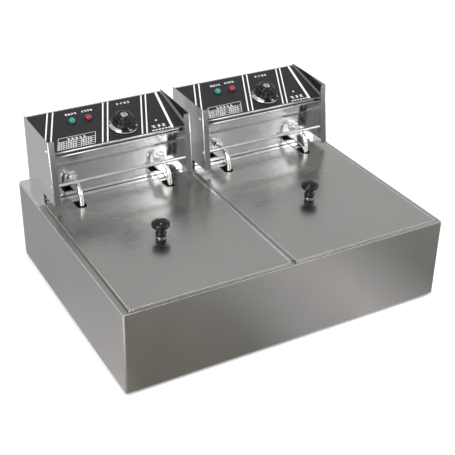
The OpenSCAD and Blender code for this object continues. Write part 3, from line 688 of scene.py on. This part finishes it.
def head_hem(side):
    """Rolled edges of the cheeks' front folds and of the panel's lip, in bright metal painted as highlight
    lines, with a dark bar of painted shade in the lip's groove.
    """
    mesh = Mesh(EDGE_HIGHLIGHT, SHADOW)
    for cheek, way in (("_head_cheek_l", 1), ("_head_cheek_r", -1)):
        lo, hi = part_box(side + cheek)
        outer = lo.x if way > 0 else hi.x
        fold_x = outer + way * 0.9 * MM
        foot = (fold_x, PANEL_FRONT_Y - CHEEK_FOOT, lo.z + FLANGE_FOOT)
        mesh.tube([foot, (fold_x, PANEL_FRONT_Y - CHEEK_TOP, hi.z - CHEEK_DROP)], 1.1 * MM, 10)
    x0 = mid_x(side + "_head_shell") - HEAD_HALF + SHEET
    x1 = x0 + 2 * (HEAD_HALF - SHEET)
    for z in (PANEL_FRONT_Z - 0.5 * MM, PANEL_FRONT_Z - LIP_HEIGHT + 1.4 * MM):
        mesh.tube([(x0, PANEL_FRONT_Y + 0.5 * MM, z), (x1, PANEL_FRONT_Y + 0.5 * MM, z)], 1.0 * MM, 10)
    # a dark bar in the lip's groove: painted shade
    mesh.bar((x0, PANEL_FRONT_Y + 0.8 * MM, PANEL_FRONT_Z - LIP_HEIGHT + LIP_RIM - 0.2 * MM),
             (x1, PANEL_FRONT_Y + LIP_GROOVE + 0.2 * MM, PANEL_FRONT_Z - LIP_RIM + 0.2 * MM), index=1)
    mesh.done(side + "_head_rims", side + "_head", "head_steel")


def cheek_screws(side):
    """Domed heads on the cheeks' outer faces, each with a cross recess drawn as a dark cross of painted
    shade.
    """
    lo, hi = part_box(side + "_cheek_screws")
    mesh = Mesh(CHROME, RECESS_SHADE)
    r = 3.6 * MM
    spots = ((lo.y + r, lo.z + r), (hi.y - r, hi.z - r))
    for x, way in ((lo.x + 1.8 * MM, -1), (hi.x - 1.8 * MM, 1)):
        for y, z in spots:
            at = Matrix.Translation((x, y, z)) @ Matrix.Rotation(way * math.pi / 2, 4, "Y")
            dome = [(r, 0), (r, 0.5 * MM)]
            dome += [(r * math.cos(a), 0.5 * MM + 1.5 * MM * math.sin(a))
                     for a in (math.pi / 2 * k / 8 for k in range(1, 8))]
            dome += [(0, 2.0 * MM)]
            mesh.lathe([(0, -0.8 * MM), (1.7 * MM, -0.8 * MM), (1.7 * MM, 0)] + dome, at, 32, 0)
            # the cross recess: two dark bars of painted shade, not cut into the dome
            for turn in (0, math.pi / 2):
                mesh.bar((-1.5 * MM, -0.3 * MM, 1.2 * MM), (1.5 * MM, 0.3 * MM, 2.03 * MM),
                         at @ Matrix.Rotation(turn, 4, "Z"), 1)
    mesh.done(side + "_cheek_screw_heads", side + "_head", "screw_steel", side + "_cheek_screws")


casing_hem()
for side in SIDES:
    lid_hem(side)
    head_hem(side)
    cheek_screws(side)
    lid_knob(side)
    lamp(side, "green", GREEN)
    lamp(side, "red", RED)
    dial(side)
    panel_print(side)
    basket(side)

# ------------------------------------------------------------------ floor, light and camera
scene = bpy.context.scene
scene.view_settings.view_transform = "Standard"

bpy.ops.mesh.primitive_plane_add(size=14, location=(0, 0, 0))
floor = bpy.context.object
floor.name = "floor"
floor_mat, floor_nodes, floor_links, floor_bsdf = new_material("floor_white")
floor_links.new(ramp(floor_nodes, floor_links, noise(floor_nodes, floor_links, 3), 0.90, 0.93),
                floor_bsdf.inputs["Base Color"])
floor_bsdf.inputs["Roughness"].default_value = 0.9
floor_bsdf.inputs["Specular IOR Level"].default_value = 0.1
floor_bsdf.inputs["Emission Color"].default_value = (1, 1, 1, 1)
floor_bsdf.inputs["Emission Strength"].default_value = 0.16
floor.data.materials.append(floor_mat)

world = bpy.data.worlds.new("studio")
scene.world = world
world.use_nodes = True
w_nodes, w_links = world.node_tree.nodes, world.node_tree.links
background = w_nodes["Background"]
coord = w_nodes.new("ShaderNodeTexCoord")
split = w_nodes.new("ShaderNodeSeparateXYZ")
w_links.new(coord.outputs["Generated"], split.inputs["Vector"])
sky = w_nodes.new("ShaderNodeValToRGB")
sky.color_ramp.elements[0].position = 0.0
sky.color_ramp.elements[0].color = (0.85, 0.85, 0.85, 1)
sky.color_ramp.elements[1].position = 0.6
sky.color_ramp.elements[1].color = (0.55, 0.55, 0.56, 1)
w_links.new(split.outputs["Z"], sky.inputs["Fac"])
w_links.new(sky.outputs["Color"], background.inputs["Color"])
background.inputs["Strength"].default_value = 1.0


def area_light(name, spot, aim, size, power, mirrored=True):
    data = bpy.data.lights.new(name, "AREA")
    data.shape = "RECTANGLE"
    data.size, data.size_y = size
    data.energy = power
    obj = bpy.data.objects.new(name, data)
    obj.location = spot
    obj.rotation_euler = (Vector(aim) - Vector(spot)).to_track_quat("-Z", "Y").to_euler()
    obj.visible_camera = False
    obj.visible_glossy = mirrored
    scene.collection.objects.link(obj)


area_light("key", (-1.6, -1.2, 2.2), (0, 0, 0.1), (1.6, 1.6), 26)
area_light("fill", (2.2, -1.0, 1.3), (0, 0, 0.1), (1.2, 1.2), 8)
area_light("top", (0, 0.6, 2.4), (0, 0, 0.1), (2.2, 1.2), 16, False)
area_light("front_edges", (0.2, -0.7, 2.3), (0, 0, 0.1), (1.6, 0.6), 16, False)
area_light("glint_left", (0.46, -0.83, 0.715), (-0.02, 0.134, 0.182), (0.18, 0.14), 0.5)
area_light("glint_right", (0.88, -0.765, 0.68), (0.258, 0.134, 0.182), (0.18, 0.14), 0.4)
area_light("spark_left", (-1.9, -0.7, 0.85), (0, 0, 0.15), (0.3, 0.45), 8)
area_light("spark_top", (0.1, 0.35, 2.2), (0, 0, 0.15), (0.25, 0.25), 3)


def card(name, x0, x1, y0, y1, along, stops):
    """A grey card lying round the casing that only reflections see, as a photographer tones steel."""
    data = bpy.data.meshes.new(name)
    z = 0.6 * MM
    data.from_pydata([(x0, y0, z), (x1, y0, z), (x1, y1, z), (x0, y1, z)], [], [(0, 1, 2, 3)])
    obj = bpy.data.objects.new(name, data)
    scene.collection.objects.link(obj)
    mat = bpy.data.materials.new(name)
    mat.use_nodes = True
    nodes, links = mat.node_tree.nodes, mat.node_tree.links
    nodes.clear()
    where, parts = nodes.new("ShaderNodeTexCoord"), nodes.new("ShaderNodeSeparateXYZ")
    reach, glow = nodes.new("ShaderNodeMapRange"), nodes.new("ShaderNodeEmission")
    shade, out = nodes.new("ShaderNodeValToRGB"), nodes.new("ShaderNodeOutputMaterial")
    links.new(where.outputs["Object"], parts.inputs[0])
    low, high = stops[0][0], stops[-1][0]
    reach.inputs["From Min"].default_value, reach.inputs["From Max"].default_value = low, high
    links.new(parts.outputs[along], reach.inputs["Value"])
    links.new(reach.outputs[0], shade.inputs["Fac"])
    links.new(shade.outputs["Color"], glow.inputs["Color"])
    links.new(glow.outputs[0], out.inputs["Surface"])
    ramp_stops = shade.color_ramp.elements
    while len(ramp_stops) < len(stops):
        ramp_stops.new(0.5)
    for stop, (place, tone) in zip(ramp_stops, stops):
        stop.position = (place - low) / (high - low)
        stop.color = (*tone, 1)
    data.materials.append(mat)
    obj.visible_camera = obj.visible_diffuse = obj.visible_shadow = obj.visible_transmission = False


box_lo, box_hi = CAD_BOX
WARM, DIM, MID, LIGHT = (0.27, 0.255, 0.225), (0.30, 0.295, 0.275), (0.54, 0.54, 0.55), (0.76, 0.745, 0.76)
card("front_card", box_lo[0] - 0.1, 1.0, -1.0, box_lo[1], "X",
     [(-0.38, LIGHT), (-0.25, WARM), (-0.06, DIM), (0.03, MID), (0.17, LIGHT), (0.25, MID),
      (0.33, DIM), (1.0, MID)])
card("left_card", -1.2, box_lo[0], box_lo[1], 1.1, "Y",
     [(-0.22, LIGHT), (0.12, MID), (0.35, MID), (1.1, MID)])
card("right_card", box_hi[0], 1.2, box_lo[1], 1.1, "Y",
     [(-0.22, MID), (0.1, LIGHT), (0.35, MID), (1.1, MID)])
card("rear_card", box_lo[0], box_hi[0], box_hi[1], 1.1, "X", [(-0.3, MID), (0.05, LIGHT), (0.3, MID)])

CAMERA_AZIMUTH, CAMERA_ELEVATION, CAMERA_ROLL = (math.radians(a) for a in (-29.52, 30.66, 1.05))
CAMERA_DISTANCE = 1.690
CAMERA_TARGET = Vector((0.0065, 0, 0.093))
back = Vector((math.sin(CAMERA_AZIMUTH) * math.cos(CAMERA_ELEVATION),
               -math.cos(CAMERA_AZIMUTH) * math.cos(CAMERA_ELEVATION), math.sin(CAMERA_ELEVATION)))
across = Vector((math.cos(CAMERA_AZIMUTH), math.sin(CAMERA_AZIMUTH), 0))
above = back.cross(across)
cam_x = across * math.cos(CAMERA_ROLL) + above * math.sin(CAMERA_ROLL)
cam_y = above * math.cos(CAMERA_ROLL) - across * math.sin(CAMERA_ROLL)
lens_data = bpy.data.cameras.new("camera")
lens_data.sensor_width = 36
lens_data.lens = 78
lens_data.clip_end = 50
camera = bpy.data.objects.new("camera", lens_data)
camera.matrix_world = (Matrix.Translation(CAMERA_TARGET + back * CAMERA_DISTANCE)
                       @ Matrix((cam_x, cam_y, back)).transposed().to_4x4())
scene.collection.objects.link(camera)
scene.camera = camera
